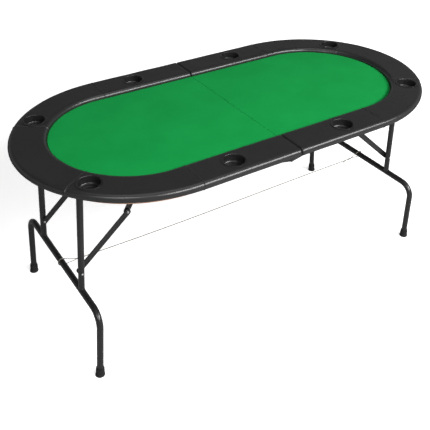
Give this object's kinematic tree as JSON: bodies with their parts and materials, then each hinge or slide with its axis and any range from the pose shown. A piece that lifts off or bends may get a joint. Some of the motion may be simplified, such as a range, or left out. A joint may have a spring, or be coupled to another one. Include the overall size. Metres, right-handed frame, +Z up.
{
  "type": "folding poker table",
  "caption": "Oval folding card table with padded rail, recessed cup holders, felt top in two hinged halves and two folding tube leg sets with elbow braces and a cord.",
  "frame": {"origin": "on the floor under the middle of the table", "axes": "+X along the table, -Y the front long side, +Z up"},
  "size_m": [1.77, 0.89, 0.78],
  "materials": {
    "rail_leather": "black grained synthetic leather over foam",
    "felt": "green felt",
    "board": "raw fibreboard",
    "skirt_wood": "light wood band",
    "cup_plastic": "black moulded plastic",
    "painted_steel": "black satin powder coat",
    "bright_steel": "zinc plated",
    "foot_rubber": "black rubber",
    "cord": "grey beige braided cord"
  },
  "bodies": {
    "left_half": {"left_top_board": "board", "left_felt": "felt", "left_skirt": "skirt_wood", "left_rail_pad": "rail_leather", "left_front_side_cup_holder": "cup_plastic", "left_front_corner_cup_holder": "cup_plastic", "left_front_pivot_saddle": "painted_steel", "left_front_brace_bracket": "painted_steel", "left_front_hinge_plate": "painted_steel", "left_rear_side_cup_holder": "cup_plastic", "left_rear_corner_cup_holder": "cup_plastic", "left_rear_pivot_saddle": "painted_steel", "left_rear_brace_bracket": "painted_steel", "left_rear_hinge_plate": "painted_steel", "cord_span": "cord"},
    "right_half": {"right_top_board": "board", "right_felt": "felt", "right_skirt": "skirt_wood", "right_rail_pad": "rail_leather", "right_front_side_cup_holder": "cup_plastic", "right_front_corner_cup_holder": "cup_plastic", "right_front_pivot_saddle": "painted_steel", "right_front_brace_bracket": "painted_steel", "right_front_hinge_plate": "painted_steel", "right_rear_side_cup_holder": "cup_plastic", "right_rear_corner_cup_holder": "cup_plastic", "right_rear_pivot_saddle": "painted_steel", "right_rear_brace_bracket": "painted_steel", "right_rear_hinge_plate": "painted_steel", "closure_tab": "rail_leather"},
    "left_leg": {"left_pivot_tube": "painted_steel", "left_lower_frame": "painted_steel", "left_cord_loop": "cord", "left_front_upright": "painted_steel", "left_front_foot_cap": "foot_rubber", "left_front_brace_rivet": "bright_steel", "left_rear_upright": "painted_steel", "left_rear_foot_cap": "foot_rubber", "left_rear_brace_rivet": "bright_steel"},
    "right_leg": {"right_pivot_tube": "painted_steel", "right_lower_frame": "painted_steel", "right_cord_loop": "cord", "right_front_upright": "painted_steel", "right_front_foot_cap": "foot_rubber", "right_front_brace_rivet": "bright_steel", "right_rear_upright": "painted_steel", "right_rear_foot_cap": "foot_rubber", "right_rear_brace_rivet": "bright_steel"},
    "left_front_lower_brace": {"left_front_lower_brace": "painted_steel", "left_front_elbow_rivet": "bright_steel"},
    "left_front_upper_link": {"left_front_upper_link": "painted_steel"},
    "left_rear_lower_brace": {"left_rear_lower_brace": "painted_steel", "left_rear_elbow_rivet": "bright_steel"},
    "left_rear_upper_link": {"left_rear_upper_link": "painted_steel"},
    "right_front_lower_brace": {"right_front_lower_brace": "painted_steel", "right_front_elbow_rivet": "bright_steel"},
    "right_front_upper_link": {"right_front_upper_link": "painted_steel"},
    "right_rear_lower_brace": {"right_rear_lower_brace": "painted_steel", "right_rear_elbow_rivet": "bright_steel"},
    "right_rear_upper_link": {"right_rear_upper_link": "painted_steel"}
  },
  "joints": [
    {"name": "center_fold", "type": "hinge", "parent": "left_half", "child": "right_half", "pos_m": [0, 0, 0.709], "axis": [0, 1, 0], "range_deg": [0, 90]},
    {"name": "left_leg_fold", "type": "hinge", "parent": "left_half", "child": "left_leg", "pos_m": [-0.7355, 0, 0.7275], "axis": [0, -1, 0], "range_deg": [0, 95.34]},
    {"name": "left_front_brace_turn", "type": "hinge", "parent": "left_leg", "child": "left_front_lower_brace", "pos_m": [-0.76873, -0.1715, 0.372], "axis": [0, -1, 0], "range_deg": [0, 45.46]},
    {"name": "left_front_link_turn", "type": "hinge", "parent": "left_half", "child": "left_front_upper_link", "pos_m": [-0.463, -0.1625, 0.718], "axis": [0, -1, 0], "range_deg": [-59.19, 0]},
    {"name": "left_rear_brace_turn", "type": "hinge", "parent": "left_leg", "child": "left_rear_lower_brace", "pos_m": [-0.76873, 0.1715, 0.372], "axis": [0, -1, 0], "range_deg": [0, 45.46]},
    {"name": "left_rear_link_turn", "type": "hinge", "parent": "left_half", "child": "left_rear_upper_link", "pos_m": [-0.463, 0.1625, 0.718], "axis": [0, -1, 0], "range_deg": [-59.19, 0]},
    {"name": "right_leg_fold", "type": "hinge", "parent": "right_half", "child": "right_leg", "pos_m": [0.7355, 0, 0.7275], "axis": [0, 1, 0], "range_deg": [0, 95.34], "deforming": ["cord_span"]},
    {"name": "right_front_brace_turn", "type": "hinge", "parent": "right_leg", "child": "right_front_lower_brace", "pos_m": [0.76873, -0.1715, 0.372], "axis": [0, 1, 0], "range_deg": [0, 45.46]},
    {"name": "right_front_link_turn", "type": "hinge", "parent": "right_half", "child": "right_front_upper_link", "pos_m": [0.463, -0.1625, 0.718], "axis": [0, 1, 0], "range_deg": [-59.19, 0]},
    {"name": "right_rear_brace_turn", "type": "hinge", "parent": "right_leg", "child": "right_rear_lower_brace", "pos_m": [0.76873, 0.1715, 0.372], "axis": [0, 1, 0], "range_deg": [0, 45.46]},
    {"name": "right_rear_link_turn", "type": "hinge", "parent": "right_half", "child": "right_rear_upper_link", "pos_m": [0.463, 0.1625, 0.718], "axis": [0, 1, 0], "range_deg": [-59.19, 0]}
  ],
  "couplings": [
    {"joint": "left_front_brace_turn", "follows": "left_leg_fold", "ratio": 0.47676},
    {"joint": "left_front_link_turn", "follows": "left_leg_fold", "ratio": -0.62077},
    {"joint": "left_rear_brace_turn", "follows": "left_leg_fold", "ratio": 0.47676},
    {"joint": "left_rear_link_turn", "follows": "left_leg_fold", "ratio": -0.62077},
    {"joint": "right_front_brace_turn", "follows": "right_leg_fold", "ratio": 0.47676},
    {"joint": "right_front_link_turn", "follows": "right_leg_fold", "ratio": -0.62077},
    {"joint": "right_rear_brace_turn", "follows": "right_leg_fold", "ratio": 0.47676},
    {"joint": "right_rear_link_turn", "follows": "right_leg_fold", "ratio": -0.62077}
  ]
}
